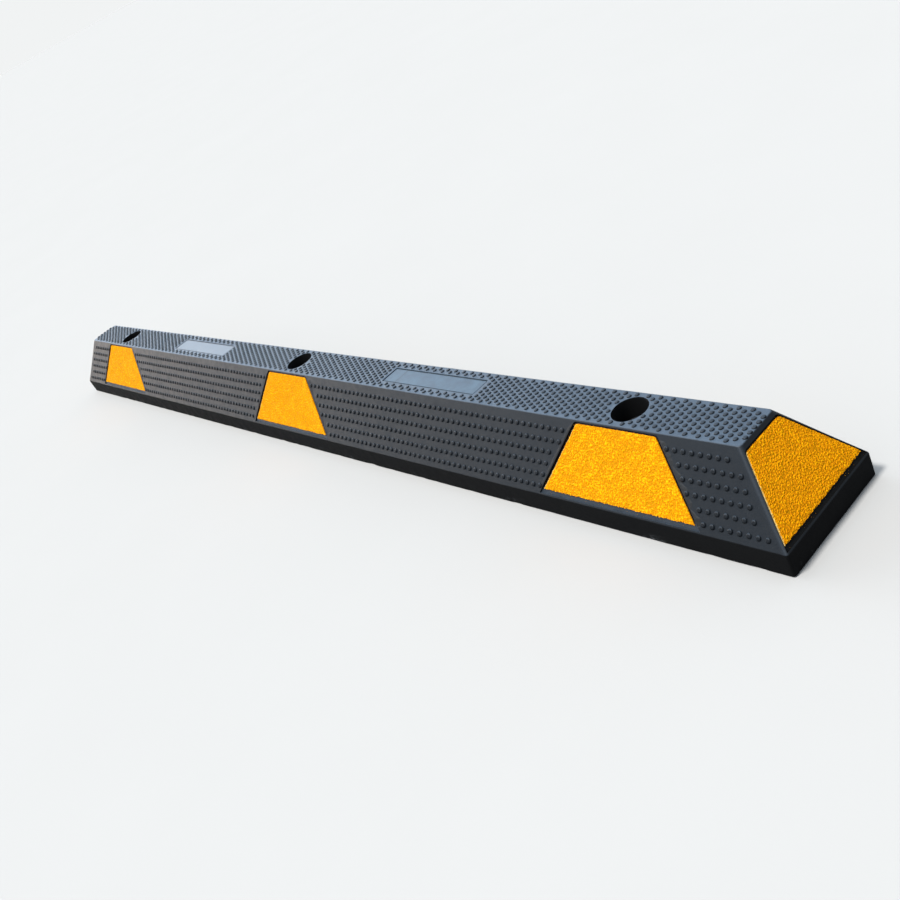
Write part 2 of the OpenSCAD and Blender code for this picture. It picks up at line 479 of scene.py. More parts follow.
def pale_film():
    """The carrier film, pale and a little dirty."""
    g = MaterialGraph("carrier_film")
    patches = g.ramp(g.noise(1.5, 4, 0.6), 0.4, 0.65)
    color = g.mix(patches, rgb(0.16, 0.12, 0.05), rgb(0.62, 0.52, 0.30))
    normal = g.bump(g.noise(0.6, 3, 0.6), 0.06, 1.0)
    return g.finish(color, 0.7, normal)


def dusty_steel():
    """Dark plated steel with dust on it, made near black partly as painted shade from the well around
    it.
    """
    g = MaterialGraph("washer_steel")
    dust = g.ramp(g.noise(5, 5, 0.65), 0.35, 0.7)
    # Near-black base: partly the steel's dark finish, partly painted shade in the well
    color = g.mix(dust, rgb(0.006, 0.0063, 0.0066), rgb(0.016, 0.0165, 0.017))
    roughness = g.ramp(dust, 0.0, 1.0, 0.42, 0.75)
    normal = g.bump(g.noise(0.7, 3, 0.6), 0.05, 1.0)
    return g.finish(color, roughness, normal, Metallic=0.35)


def smooth_pad():
    """The two blank pads: smoother rubber, bluish grey, partly a painted sheen like the top's and
    partly a worn film of dust, paler on the left one.
    """
    g = MaterialGraph("label_pad")
    along = g.along("X")
    left_side = g.ramp(along, -0.01, 0.01, 1.0, 0.0)
    worn = g.ramp(g.noise(16, 5, 0.65), 0.35, 0.65)
    # The bluish grey is partly painted sheen, as on the rest of the top
    right_color = g.mix(worn, rgb(0.042, 0.068, 0.098), rgb(0.080, 0.122, 0.162))
    left_color = g.mix(worn, rgb(0.105, 0.128, 0.155), rgb(0.150, 0.178, 0.208))
    color = g.mix(left_side, right_color, left_color)
    line_gap = g.math("ABSOLUTE", g.math("SUBTRACT", along, PAD_LINE * MM), 0.0)
    line = g.ramp(line_gap, 0.5 * MM, 1.2 * MM, 0.7, 0.0)
    line = g.math("MULTIPLY", line, g.ramp(worn, 0.0, 1.0, 1.0, 0.6))
    color = g.mix(line, color, rgb(0.03, 0.035, 0.04))
    # Painted shade in the groove round the pad, darkest at its bottom
    groove = g.ramp(g.along("Z"), (top - GROOVE_DARK) * MM, (top - GROOVE_CLEAR) * MM, 0.85, 0.0)
    color = g.mix(groove, color, rgb(0.010, 0.012, 0.014))
    normal = g.bump(g.noise(5, 3, 0.5), 0.10, 1.0)
    return g.finish(color, g.ramp(worn, 0, 1, 0.44, 0.60), normal, Specular_IOR_Level=0.35)


def pale_floor():
    """Pale to the camera; other rays meet it darker, as if black cards stood round the bar."""
    g = MaterialGraph("floor")
    color = g.mix(g.noise(300, 4, 0.6), rgb(0.455, 0.440, 0.415), rgb(0.470, 0.455, 0.430))
    seen = g.node("LightPath").outputs["Is Camera Ray"]
    color = g.mix(seen, rgb(0.08, 0.08, 0.08), color)
    return g.finish(color, 0.9, g.bump(g.noise(3, 3, 0.5), 0.05, 0.5), Specular_IOR_Level=0.0)


# The second colour given to each rubber is its painted sheen
rubber = moulded_rubber("rubber_painted_sheen", BLACK, PAINTED_SHEEN, 1.0, 0.47)
rubber_black = hidden_rubber()
rubber_stud = moulded_rubber("rubber_stud", BLACK, PAINTED_SHEEN, 0.38, 0.46, 0.22)
rubber_smear = moulded_rubber(
    "rubber_smear", rgb(0.012, 0.0125, 0.013), rgb(0.05, 0.055, 0.06), 1.0, 0.62)
rubber_plinth = scuffed_rubber()
rubber_ledge = ledge_rubber()
pad_finish = smooth_pad()
coating = beaded_coating()
edge_finish = cut_edge()
film_finish = pale_film()
steel = dusty_steel()

# ---- the rubber bar

EDGE_STEP = 5.0
FOOT_ROUND = 1.6
PLINTH_ROUND = 3.0
TOP_ROUND = 1.8
# Above the plinth the bar's upright corners become this much rounder, over this range of heights
RIDGE_ROUND = 2.0
RIDGE_BLEND_LOW = plinth - 4
RIDGE_BLEND_HIGH = plinth + 12
CORNER_STEPS = 6
CHIP_COUNT = 46
# Chips reach this far up from the floor
CHIP_TOP = 6
# Indices of the bar's materials
RUBBER, DARK, PAD, PLINTH, LEDGE = range(5)


def rounded_corner(before, corner, after, radius, steps):
    """Points of an arc that rounds a corner of an open outline."""
    first = (Vector(before) - Vector(corner)).normalized()
    second = (Vector(after) - Vector(corner)).normalized()
    half_angle = first.angle(second) / 2
    centre = Vector(corner) + (first + second).normalized() * (radius / math.sin(half_angle))
    reach = radius / math.tan(half_angle)
    start = Vector(corner) + first * reach - centre
    end = Vector(corner) + second * reach - centre
    turn = start.angle_signed(end)
    return [centre + Matrix.Rotation(-turn * i / steps, 2) @ start for i in range(steps + 1)]


def bar_profile():
    """(inset, height) of each ring of the bar, from the base to the flat top."""
    middle = (half_width, 0)
    foot = (0, 0)
    ledge = (0, plinth)
    crest = (side_run, top)
    inner = (half_width, top)
    profile = rounded_corner(middle, foot, ledge, FOOT_ROUND, 3)
    profile += [Vector((0, plinth * 0.5))]
    profile += rounded_corner(foot, ledge, crest, PLINTH_ROUND, 4)
    profile += [Vector(ledge).lerp(Vector(crest), t) for t in (0.25, 0.5, 0.75)]
    profile += rounded_corner(ledge, crest, inner, TOP_ROUND, 5)
    return profile


def ring_points(inset, z):
    """One level outline of the bar, anticlockwise, with the same number of points at any height."""
    half_x = half_length - inset * end_run / side_run
    half_y = half_width - inset
    radius = corner_radius + RIDGE_ROUND * smoothstep(RIDGE_BLEND_LOW, RIDGE_BLEND_HIGH, z)
    long_steps = round(2 * half_length / EDGE_STEP)
    short_steps = round(2 * half_width / EDGE_STEP)
    arcs = rounded_rectangle(0, 0, half_x, half_y, radius, CORNER_STEPS)
    points = []
    per_arc = CORNER_STEPS + 1
    for quarter in range(4):
        arc = arcs[quarter * per_arc:(quarter + 1) * per_arc]
        points += arc
        following = arcs[(quarter + 1) * per_arc % len(arcs)]
        steps = short_steps if quarter % 2 == 0 else long_steps
        for i in range(1, steps):
            t = i / steps
            points.append((arc[-1][0] + (following[0] - arc[-1][0]) * t,
                           arc[-1][1] + (following[1] - arc[-1][1]) * t))
    return points


def worn(point, z, chips):
    """Moves a point of the bar a little: waves along the edges and small chips at the foot."""
    x, y = point
    wave = 0.16 * wobble((x, y, z), 24, 1) + 0.10 * wobble((x, y, z), 9, 2)
    on_side = abs(y) > abs(x) - (half_length - half_width)
    outward = Vector((0, math.copysign(1, y))) if on_side else Vector((math.copysign(1, x), 0))
    dent = 0.0
    if z < CHIP_TOP:
        for cx, cy, size, depth in chips:
            gap = math.hypot(x - cx, y - cy)
            if gap < 3 * size:
                dent += depth * math.exp(-(gap / size) ** 2) * (1 - z / CHIP_TOP)
    moved = Vector((x, y)) + outward * (wave - dent)
    return moved.x, moved.y


def bar_block():
    """The bar before anything is cut from it."""
    chips = []
    for _ in range(CHIP_COUNT):
        x = rng.uniform(-half_length, half_length)
        y = half_width * rng.choice((-1, 1))
        size = rng.uniform(3, 7)
        depth = rng.uniform(0.2, 0.8)
        chips.append((x, y, size, depth))
    profile = bar_profile()
    points, faces, indices = [], [], []
    for inset, z in profile:
        for point in ring_points(inset, z):
            x, y = worn(point, z, chips)
            points.append((x, y, z))
    count = len(points) // len(profile)
    for row in range(len(profile) - 1):
        faces += strip(row * count, (row + 1) * count, count)
        is_plinth = profile[row + 1].y < plinth
        indices += [PLINTH if is_plinth else RUBBER] * count
    faces.append(tuple(reversed(range(count))))
    indices.append(PLINTH)
    faces.append(tuple(range(len(points) - count, len(points))))
    indices.append(RUBBER)
    return points, faces, indices


# Hollows under the bar, as in the CAD
HOLLOW_DEPTH = 40
HOLLOW_HALF_WIDTH = 42
HOLLOW_CORNER = 8
# How much a hollow narrows on each side towards its roof
HOLLOW_DRAFT = 1.5
BOSS_HALF_LENGTH = 30
RIB = 14
HOLLOWS_PER_BAY = 5
END_WALL = 60
# Pads on the top, each with a groove just inside its outline
PAD_HALF_LENGTH = 90
PAD_HALF_WIDTH = 14
PAD_CORNER = 2
PAD_DEPTH = 0.6
GROOVE_WIDTH = 1.8
GROOVE_DEPTH = 0.5
# Recesses around the sheets
SIDE_GAP = 3.5
END_GAP = 1.3
FOOT_GAP = 5.0
HEAD_GAP = 2.0
RECESS_DEPTH = 2.0
# Wells, with a ragged rim that opens a little
WELL_SEGMENTS = 240
RAGGED_RING = 20
RIM_DEPTH = 2.5
RIM_FLARE = 0.2
# How far the cutters stand out of what they cut
OVER = 3.0

NAMES = ("left", "centre", "right")
# For each sheet: its kind, its slope, the name of its place and the distance along the slope
PLACES = [("front", FRONT, name, x) for name, x in zip(NAMES, (-spacing, 0, spacing))]
PLACES += [("back", BACK, name, x) for name, x in zip(NAMES, (spacing, 0, -spacing))]
PLACES += [("end", LEFT, "left", 0), ("end", RIGHT, "right", 0)]


def trapezoid(outline, side_gap, foot_gap, head_gap):
    """The outline of a recess around a sheet, as points anticlockwise."""
    low = outline.low - foot_gap
    high = outline.high + head_gap
    foot = outline.foot + side_gap + outline.lean * foot_gap
    head = outline.head + side_gap - outline.lean * head_gap
    radius = outline.radius
    centre_x = head - radius * math.tan(outline.leg_angle / 2)
    centre_y = high - radius
    right_side = [(foot, low)]
    for i in range(CORNER_STEPS + 1):
        angle = math.pi / 2 - outline.leg_angle + outline.leg_angle * i / CORNER_STEPS
        right_side.append((centre_x + radius * math.cos(angle), centre_y + radius * math.sin(angle)))
    left_side = [(-x, y) for x, y in reversed(right_side)]
    return right_side + left_side


def pad_cutter(x):
    """A shallow pad with its groove."""
    inner_length = PAD_HALF_LENGTH - GROOVE_WIDTH
    inner_width = PAD_HALF_WIDTH - GROOVE_WIDTH
    outer = rounded_rectangle(x, 0, PAD_HALF_LENGTH, PAD_HALF_WIDTH, PAD_CORNER)
    inner = rounded_rectangle(x, 0, inner_length, inner_width, PAD_CORNER / 2)
    floor_z = top - PAD_DEPTH
    groove_z = floor_z - GROOVE_DEPTH
    rings = ((outer, top + OVER), (outer, groove_z), (inner, groove_z), (inner, floor_z))
    points = [(px, py, z) for outline, z in rings for px, py in outline]
    count = len(outer)
    faces = [tuple(range(count))]
    for ring in range(len(rings) - 1):
        faces += strip(ring * count, (ring + 1) * count, count)
    faces.append(tuple(reversed(range(len(points) - count, len(points)))))
    return points, faces


def well_cutter(x):
    """A well with a ragged rim, and the anchor hole below it."""
    wide = well_radius + RIM_FLARE
    profile = [(TINY, -OVER), (bore_radius, -OVER), (bore_radius, seat), (well_radius, seat),
               (well_radius, top - RIM_DEPTH), (well_radius, top - 1), (wide, top),
               (wide, top + OVER), (TINY, top + OVER)]

    def ragged(angle, z):
        spot = (RAGGED_RING * math.cos(angle), RAGGED_RING * math.sin(angle), x)
        share = smoothstep(top - RIM_DEPTH, top, z)
        return share * (0.30 * wobble(spot, 1.0) + 0.14 * wobble(spot, 4.0))

    return lathe(profile, WELL_SEGMENTS, (x, 0), ragged)


def hollow_outlines():
    """Outlines of the hollows: a row in each bay between the holes, and one near each end."""
    bay = spacing - 2 * BOSS_HALF_LENGTH
    length = (bay - (HOLLOWS_PER_BAY - 1) * RIB) / HOLLOWS_PER_BAY
    spans = [(BOSS_HALF_LENGTH + i * (length + RIB), length) for i in range(HOLLOWS_PER_BAY)]
    end_start = spacing + BOSS_HALF_LENGTH
    spans.append((end_start, half_length - END_WALL - end_start))
    outlines = []
    for start, reach in spans:
        for side in (-1, 1):
            centre = side * (start + reach / 2)
            outlines.append(rounded_rectangle(centre, 0, reach / 2, HOLLOW_HALF_WIDTH, HOLLOW_CORNER))
    return outlines


def cutters():
    """Everything that is cut from the bar, as one mesh of separate closed shapes."""
    made = Shape()
    for side, turn, place, along in PLACES:
        matrix = slope_matrix(turn, along)
        outline = Outline(f"{side}_sheet_{place}", matrix)
        is_end = turn in ENDS
        flat = trapezoid(outline, END_GAP if is_end else SIDE_GAP, FOOT_GAP, HEAD_GAP)
        made.add(*prism(flat, -RECESS_DEPTH, OVER, matrix), DARK if is_end else LEDGE)
    for x in anchor_places:
        made.add(*well_cutter(x), DARK)
    for x in (-spacing / 2, spacing / 2):
        made.add(*pad_cutter(x), PAD)
    for flat in hollow_outlines():
        made.add(*prism(flat, -OVER, HOLLOW_DEPTH, shrink=HOLLOW_DRAFT), DARK)
    return made


def rubber_bar():
    """The bar with everything cut from it, in place of the plain CAD body."""
    materials = [rubber, rubber_black, pad_finish, rubber_plinth, rubber_ledge]
    points, faces, indices = bar_block()
    bar = piece("rubber_bar", points, faces, materials, "rubber", indices=indices)
    cut = cutters()
    tool = piece("cutter", cut.points, cut.faces, materials, None, indices=cut.indices)
    for thing in (bar, tool):
        work = bmesh.new()
        work.from_mesh(thing.data)
        bmesh.ops.recalc_face_normals(work, faces=work.faces)
        work.to_mesh(thing.data)
        work.free()
    boolean = bar.modifiers.new("cut", "BOOLEAN")
    boolean.object = tool
    boolean.operation = "DIFFERENCE"
    boolean.solver = "EXACT"
    graph = bpy.context.evaluated_depsgraph_get()
    carved = bpy.data.meshes.new_from_object(bar.evaluated_get(graph))
    bar.modifiers.clear()
    bar.data = carved
    bpy.data.objects.remove(tool)
    carved.polygons.foreach_set("use_smooth", [True] * len(carved.polygons))
    carved.set_sharp_from_angle(angle=math.radians(32))
    weighted = bar.modifiers.new("weighted", "WEIGHTED_NORMAL")
    weighted.keep_sharp = True
    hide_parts("rubber_body")


# ---- studs

TOP_PITCH = spacing / 42
# Rows on each side of the middle row, and the place of the outermost one
TOP_ROWS = 6
TOP_ROWS_REACH = 22
TOP_ROW_PITCH = TOP_ROWS_REACH / TOP_ROWS
# Smooth margins at the ends of the top: the two outer rows on each side stop earlier
TOP_MARGIN = 2
OUTER_ROWS = (5, 6)
OUTER_MARGIN = 5
TOP_STUD_RADIUS = 2.65
TOP_STUD_HEIGHT = 1.3
SIDE_PITCH = 9.65
SIDE_STUD_RADIUS = 2.8
SIDE_STUD_HEIGHT = 1.4
# Places of the rows on a long slope, as distances below its upper edge
SIDE_ROWS = (13.3, 26.0, 38.6, 51.2, 63.8, 76.6)
# Least distances from the middle of a stud to the middle of a well, and to the edge of a pad, an
# end ridge or a sheet's leg
WELL_CLEARANCE = 23.2
PAD_CLEARANCE_ALONG = 3.5
PAD_CLEARANCE_ACROSS = 3
RIDGE_CLEARANCE = 12
SHEET_CLEARANCE = 7.5
CENTRE_SHEET_CLEARANCE = 9.0
# How far a stud goes on below the surface
SINK = 0.9
STUD_SEGMENTS = 14
# Profiles as (share of the radius, share of the height)
BUTTON = ((1.0, 0.10), (0.95, 0.50), (0.80, 0.82), (0.55, 0.96), (0.25, 1.0))
DOME = ((1.0, 0.10), (0.96, 0.45), (0.82, 0.78), (0.58, 0.97), (0.28, 0.93))


def stud(shape, matrix, centre, radius, height, profile):
    """Adds a closed stud on a face."""
    x, y = centre
    rings = [(1.0, -SINK)] + [(r, h * height) for r, h in profile]
    points = []
    for share, z in rings:
        for i in range(STUD_SEGMENTS):
            angle = 2 * math.pi * i / STUD_SEGMENTS
            px = x + radius * share * math.cos(angle)
            py = y + radius * share * math.sin(angle)
            points.append(tuple(matrix @ Vector((px, py, z))))
    faces = [tuple(reversed(range(STUD_SEGMENTS)))]
    for row in range(len(rings) - 1):
        faces += strip(row * STUD_SEGMENTS, (row + 1) * STUD_SEGMENTS, STUD_SEGMENTS)
    faces.append(tuple(range(len(points) - STUD_SEGMENTS, len(points))))
    shape.add(points, faces)


def top_studs():
    """The studs of the flat top, left out around the wells and the pads."""
    made = Shape()
    matrix = Matrix.Translation((0, 0, top))
    reach = int(top_half_length / TOP_PITCH) + 1
    for row in range(-TOP_ROWS, TOP_ROWS + 1):
        shift = 0 if row % 2 else 0.5
        y = row * TOP_ROW_PITCH
        margin = OUTER_MARGIN if abs(row) in OUTER_ROWS else TOP_MARGIN
        for i in range(-reach, reach + 1):
            x = (i + shift) * TOP_PITCH
            if abs(x) > top_half_length - margin:
                continue
            if any(math.hypot(x - place, y) < WELL_CLEARANCE for place in anchor_places):
                continue
            beside_pad = abs(y) < PAD_HALF_WIDTH + PAD_CLEARANCE_ACROSS
            if beside_pad and abs(abs(x) - spacing / 2) < PAD_HALF_LENGTH + PAD_CLEARANCE_ALONG:
                continue
            height = TOP_STUD_HEIGHT * rng.uniform(0.93, 1.05)
            stud(made, matrix, (x, y), TOP_STUD_RADIUS, height, BUTTON)
    piece("studs_top", made.points, made.faces, [rubber_stud], "rubber")


def near_sheet(outline, x, y, place):
    """Whether a stud would be too near the sheet at this place along the slope."""
    clearance = SHEET_CLEARANCE if place else CENTRE_SHEET_CLEARANCE
    return abs(x - place) < outline.leg(y) + clearance


def side_studs(name, turn):
    """The studs of one long slope, left out around the sheets and near the end ridges."""
    made = Shape()
    matrix = slope_matrix(turn, 0)
    outline = Outline("front_sheet_centre", slope_matrix(FRONT, 0))
    reach = int(half_length / SIDE_PITCH) + 1
    for row, below in enumerate(SIDE_ROWS):
        y = side_slope - below
        shift = 0.5 if row % 2 else 0
        ridge = half_length - end_run * y / side_slope
        for i in range(-reach, reach + 1):
            x = (i + shift) * SIDE_PITCH
            if abs(x) > ridge - RIDGE_CLEARANCE:
                continue
            if any(near_sheet(outline, x, y, place) for place in anchor_places):
                continue
            height = SIDE_STUD_HEIGHT * rng.uniform(0.92, 1.06)
            stud(made, matrix, (x, y), SIDE_STUD_RADIUS, height, DOME)
    piece(name, made.points, made.faces, [rubber_stud], "rubber")


# ---- reflective sheets

# Spacing of the grid of points on a sheet, width of a bead, and height of the beads
BEAD_STEP = 0.52
BEAD_SIZE = 1.5
BEAD_DEPTH = 0.72
# The beads stand this far above the plain sheet, and sink near its edges
BEAD_LIFT = 0.10
EDGE_SINK = 0.30
EDGE_SINK_REACH = 1.3
# How far the cut edges stray, and how far in from the edge the points stray with them
SIDE_FRAY = 0.34
FOOT_FRAY = 0.62
HEAD_FRAY = 0.36
FRAY_REACH = 3
# First seeds of the noise on the sheets and on the films
SHEET_SEED = 11.0
FILM_SEED = 31.0
FILM_STEPS = 90
# How far a film's cut outline lies inside its sheet's: at the left leg, right leg, head and foot
FILM_TUCK_LEFT = 0.10
FILM_TUCK_RIGHT = 0.95
FILM_TUCK_ENDS = 0.9


def bead_height(x, y, seed):
    """Height of the coating from 0 to 1: crowded irregular beads."""
    place = Vector((x, y, seed))
    coarse = noise.noise(place / BEAD_SIZE)
    fine = noise.noise(place / (BEAD_SIZE * 0.55) + Vector((9, 4, 2)))
    broad = noise.noise(place / 9)
    value = 0.5 + 0.62 * coarse + 0.34 * fine + 0.14 * broad
    return smoothstep(0.14, 0.90, value)


def fray(along, seed, amount):
    """How far a ragged edge strays at a place along it."""
    spot = (along, seed, 0)
    return amount * (wobble(spot, 1.5) + 0.7 * wobble(spot, 5))


def grid_border(columns, rows):
    """Indices of the outermost points of a grid, anticlockwise from its lower left corner."""
    width = columns + 1
    border = list(range(width))
    border += [row * width + columns for row in range(1, rows + 1)]
    border += [rows * width + column for column in range(columns - 1, -1, -1)]
    border += [row * width for row in range(rows - 1, 0, -1)]
    return border


def beaded_sheet(name, node, matrix, seed, pale_wall):
    """A closed sheet whose top is covered in beads and whose edge is slightly ragged.

    The pale core shows in patches at the left leg, and on its whole wall if pale_wall is set.
    """
    outline = Outline(node, matrix)
    rows = round((outline.high - outline.low) / BEAD_STEP)
    columns = round(2 * outline.foot / BEAD_STEP)
    points, beads = [], []
    for row in range(rows + 1):
        y = outline.low + (outline.high - outline.low) * row / rows
        half = outline.half(y)
        edge_y = min(y - outline.low, outline.high - y)
        is_foot = y < (outline.low + outline.high) / 2
        for column in range(columns + 1):
            x = half * (2 * column / columns - 1)
            edge_x = half - abs(x)
            stray_x = fray(y, seed + math.copysign(2, x), SIDE_FRAY)
            px = x + stray_x * (1 - smoothstep(0, FRAY_REACH, edge_x))
            stray_y = fray(x, seed + is_foot, FOOT_FRAY if is_foot else HEAD_FRAY)
            py = y + stray_y * (1 - smoothstep(0, FRAY_REACH, edge_y))
            bead = bead_height(px, py, seed)
            fall = 1 - smoothstep(0, EDGE_SINK_REACH, min(edge_x, edge_y))
            z = outline.over + BEAD_LIFT + BEAD_DEPTH * (bead - 0.6) - EDGE_SINK * fall
            points.append(tuple(matrix @ Vector((px, py, z))))
            beads.append(bead)
    width = columns + 1
    faces, indices = [], []
    for row in range(rows):
        for column in range(columns):
            first = row * width + column
            faces.append((first, first + 1, first + width + 1, first + width))
            is_pale = column == 0 and wobble((row * BEAD_STEP, seed, 0), 6) > -0.25
            indices.append(1 if is_pale else 0)
    border = grid_border(columns, rows)
    turn_back = matrix.inverted()
    start = len(points)
    for index in border:
        flat = turn_back @ Vector(points[index])
        points.append(tuple(matrix @ Vector((flat.x, flat.y, outline.under))))
        beads.append(0.5)
    count = len(border)
    left_leg = 2 * columns + rows
    for i in range(count):
        following = (i + 1) % count
        faces.append((border[following], border[i], start + i, start + following))
        is_pale = pale_wall and i > left_leg
        indices.append(1 if is_pale else 0)
    faces.append(tuple(start + i for i in reversed(range(count))))
    indices.append(1)
    made = piece(name, points, faces, [coating, edge_finish], "reflective_sheet", indices=indices)
    attribute = made.data.attributes.new("bead", "FLOAT", "POINT")
    attribute.data.foreach_set("value", beads)
    made.data.set_sharp_from_angle(angle=math.radians(70))
    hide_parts(node)


def carrier_film(name, node, matrix, seed):
    """A thin film with a slightly uneven cut outline."""
    outline = Outline(node, matrix)
    right_side = []
    for i in range(FILM_STEPS + 1):
        y = outline.low + (outline.high - outline.low) * i / FILM_STEPS
        right_side.append((outline.half(y), y))
    left_side = [(-x, y) for x, y in reversed(right_side)]
    flat = []
    for x, y in right_side + left_side:
        shake = 0.30 * wobble((x, y, seed), 3.0) + 0.15 * wobble((x, y, seed), 1.1)
        tuck = FILM_TUCK_LEFT if x < 0 else FILM_TUCK_RIGHT
        edge_y = min(y - outline.low, outline.high - y)
        outward = -1 if y < (outline.low + outline.high) / 2 else 1
        sink = FILM_TUCK_ENDS * (1 - smoothstep(0, 2, edge_y)) * outward
        flat.append((x + (shake - tuck) * math.copysign(1, x), y - sink))
    points, faces = prism(flat, outline.under, outline.over, matrix)
    # Coating covers the right half of the film's edge
    indices = [0 if x < 0 else 1 for x, y in flat] + [0, 0]
    materials = [film_finish, coating]
    made = piece(name, points, faces, materials, "carrier_film", smooth=False, indices=indices)
    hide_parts(node)


# ---- smears beside the sheets

# Section of a smear, as (share of its width, height): heights above 0 are shares of its thickness
SMEAR_SECTION = (
    (0.12, -1.4), (0.0, -0.05), (0.05, 0.55), (0.18, 0.95), (0.36, 1.0), (0.55, 0.80),
    (0.74, 0.50), (0.90, 0.16), (1.0, -0.10), (1.0, -0.5),
)
SMEAR_STEPS = 150
# A smear lies this much lower on the slope than its sheet
SMEAR_SHIFT = 1.0
# Numbers of crumbs beside the left leg, below the foot and beside the right leg
CRUMBS_LEFT = 48
CRUMBS_BELOW = 24
CRUMBS_RIGHT = 12
CRUMB_HEIGHT = 0.3 - RECESS_DEPTH
# The least distance between the middle of a crumb and the sheet or the wall
CRUMB_MARGIN = 0.3


def smear(shape, matrix, outline, side, gap, wide, thick, lobed):
    """A low soft band of rubber beside one leg of a recess, with a lobed outer edge."""
    low = outline.low - SMEAR_SHIFT
    high = outline.high - SMEAR_SHIFT
    lean_angle = math.atan2(1, outline.lean)
    out_x = math.sin(lean_angle)
    out_y = math.cos(lean_angle)
    seed = side * 5.3 + matrix.translation.x * 0.013
    points = []
    for i in range(SMEAR_STEPS + 1):
        t = i / SMEAR_STEPS
        y = low + (high - low) * t
        edge = outline.leg(y) + gap
        lobes = 0.66 + lobed * (0.62 * wobble((y, seed, 0), 13) + 0.30 * wobble((y, seed, 4), 4.5))
        fade = smoothstep(0, 0.09, t) * smoothstep(1, 0.93, t)
        width = wide * max(lobes, 0.25) * (0.35 + 0.65 * fade)
        for share, z in SMEAR_SECTION:
            distance = share * width
            px = side * (edge + distance * out_x)
            py = y + distance * out_y
            rough = 0
            if z > 0.3:
                rough = 0.16 * wobble((px, py, seed), 3.1) + 0.10 * wobble((px, py, seed), 1.2)
            lift = (z * thick + rough * thick * 2) * fade if z > 0 else z
            points.append(tuple(matrix @ Vector((px, py, lift))))
    count = len(SMEAR_SECTION)
    faces = []
    for i in range(SMEAR_STEPS):
        faces += strip(i * count, (i + 1) * count, count)
    faces.append(tuple(range(count)))
    faces.append(tuple(reversed(range(len(points) - count, len(points)))))
    shape.add(points, faces)


def crumb(shape, matrix, x, y, z, size):
    """A tiny irregular lump of coating."""
    points, faces = [], []
    for axis in range(3):
        for sign in (-1, 1):
            spot = Vector((0, 0, 0))
            spot[axis] = sign * size * rng.uniform(0.6, 1.1)
            spot += Vector([rng.uniform(-0.3, 0.3) * size for _ in range(3)])
            points.append(tuple(matrix @ (Vector((x, y, z)) + spot)))
    for sx in (0, 1):
        for sy in (2, 3):
            for sz in (4, 5):
                faces.append((sx, sy, sz) if (sx + sy + sz) % 2 == 1 else (sx, sz, sy))
    shape.add(points, faces)


def sheet_surroundings():
    """Smears of rubber beside the side sheets, and loose crumbs of coating in the recesses."""
    smears, crumbs = Shape(), Shape()
    for side, turn, place, along in PLACES:
        matrix = slope_matrix(turn, along)
        outline = Outline(f"{side}_sheet_{place}", matrix)
        is_end = turn in ENDS
        if not is_end:
            smear(smears, matrix, outline, side=1, gap=SIDE_GAP, wide=8.5, thick=0.42, lobed=1.0)
            smear(smears, matrix, outline, side=-1, gap=SIDE_GAP, wide=5.5, thick=0.24, lobed=0.2)
        gap = END_GAP if is_end else SIDE_GAP
        height = outline.high - outline.low
        for _ in range(CRUMBS_LEFT):
            y = outline.low + height * rng.random() ** 1.4
            x = -outline.half(y) - rng.uniform(CRUMB_MARGIN, gap - CRUMB_MARGIN)
            crumb(crumbs, matrix, x, y, CRUMB_HEIGHT, rng.uniform(0.12, 0.36))
        for _ in range(CRUMBS_BELOW):
            x = rng.uniform(-1, 1) * outline.foot
            y = outline.low - rng.uniform(0.5, FOOT_GAP - 0.6)
            crumb(crumbs, matrix, x, y, CRUMB_HEIGHT, rng.uniform(0.12, 0.34))
        for _ in range(CRUMBS_RIGHT):
            y = outline.low + height * rng.random()
            x = outline.half(y) + rng.uniform(CRUMB_MARGIN, gap - CRUMB_MARGIN)
            crumb(crumbs, matrix, x, y, CRUMB_HEIGHT, rng.uniform(0.14, 0.34))
    piece("recess_smears", smears.points, smears.faces, [rubber_smear], "rubber")
    piece("coating_crumbs", crumbs.points, crumbs.faces, [coating], "reflective_sheet", smooth=False)


# ---- seat washers

WASHER_SEGMENTS = 96


def washer(name, node):
    """A washer with a pressed rim and a pressed lip around its hole."""
    low, high = corners(node)
    centre = ((low.x + high.x) / 2, 0)
    outer = (high.x - low.x) / 2
    base, cap = low.z, high.z
    inner = bore_radius
    profile = [(inner, base), (outer - 0.3, base), (outer, base + 0.4), (outer, cap - 0.5),
               (outer - 0.4, cap - 0.05), (outer - 1.0, cap + 0.05), (outer - 1.7, cap - 0.25),
               (outer - 3.0, cap - 0.45), (inner + 3.4, cap - 0.45), (inner + 2.5, cap - 0.2),
               (inner + 1.9, cap + 0.35), (inner + 1.2, cap + 0.45), (inner + 0.7, cap + 0.1),
               (inner + 0.35, cap + 0.15), (inner, cap - 0.3)]

    def uneven(angle, z):
        return 0.06 * wobble((5 * math.cos(angle), 5 * math.sin(angle), z), 1.5, centre[0])

    points, faces = lathe(profile, WASHER_SEGMENTS, centre, uneven)
    # The last ring of faces is the wall of the hole, given the rubber's black as painted shade deep
    # in the hole
    indices = [0] * (len(faces) - WASHER_SEGMENTS) + [1] * WASHER_SEGMENTS
    made = piece(name, points, faces, [steel, rubber_black], "washer_steel", indices=indices)
    made.data.set_sharp_from_angle(angle=math.radians(50))
    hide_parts(node)


# ---- the object

rubber_bar()
top_studs()
side_studs("studs_front", FRONT)
side_studs("studs_back", BACK)
for number, (side, turn, place, along) in enumerate(PLACES):
    place_matrix = slope_matrix(turn, along)
    beaded_sheet(f"coating_{side}_{place}", f"{side}_sheet_{place}", place_matrix,
                 SHEET_SEED + number, pale_wall=turn in ENDS)
    carrier_film(f"backing_{side}_{place}", f"{side}_film_{place}", place_matrix, FILM_SEED + number)
sheet_surroundings()
for place in NAMES:
    washer(f"washer_{place}", f"seat_washer_{place}")

# ---- floor, light and camera

FLOOR_HALF = 40000
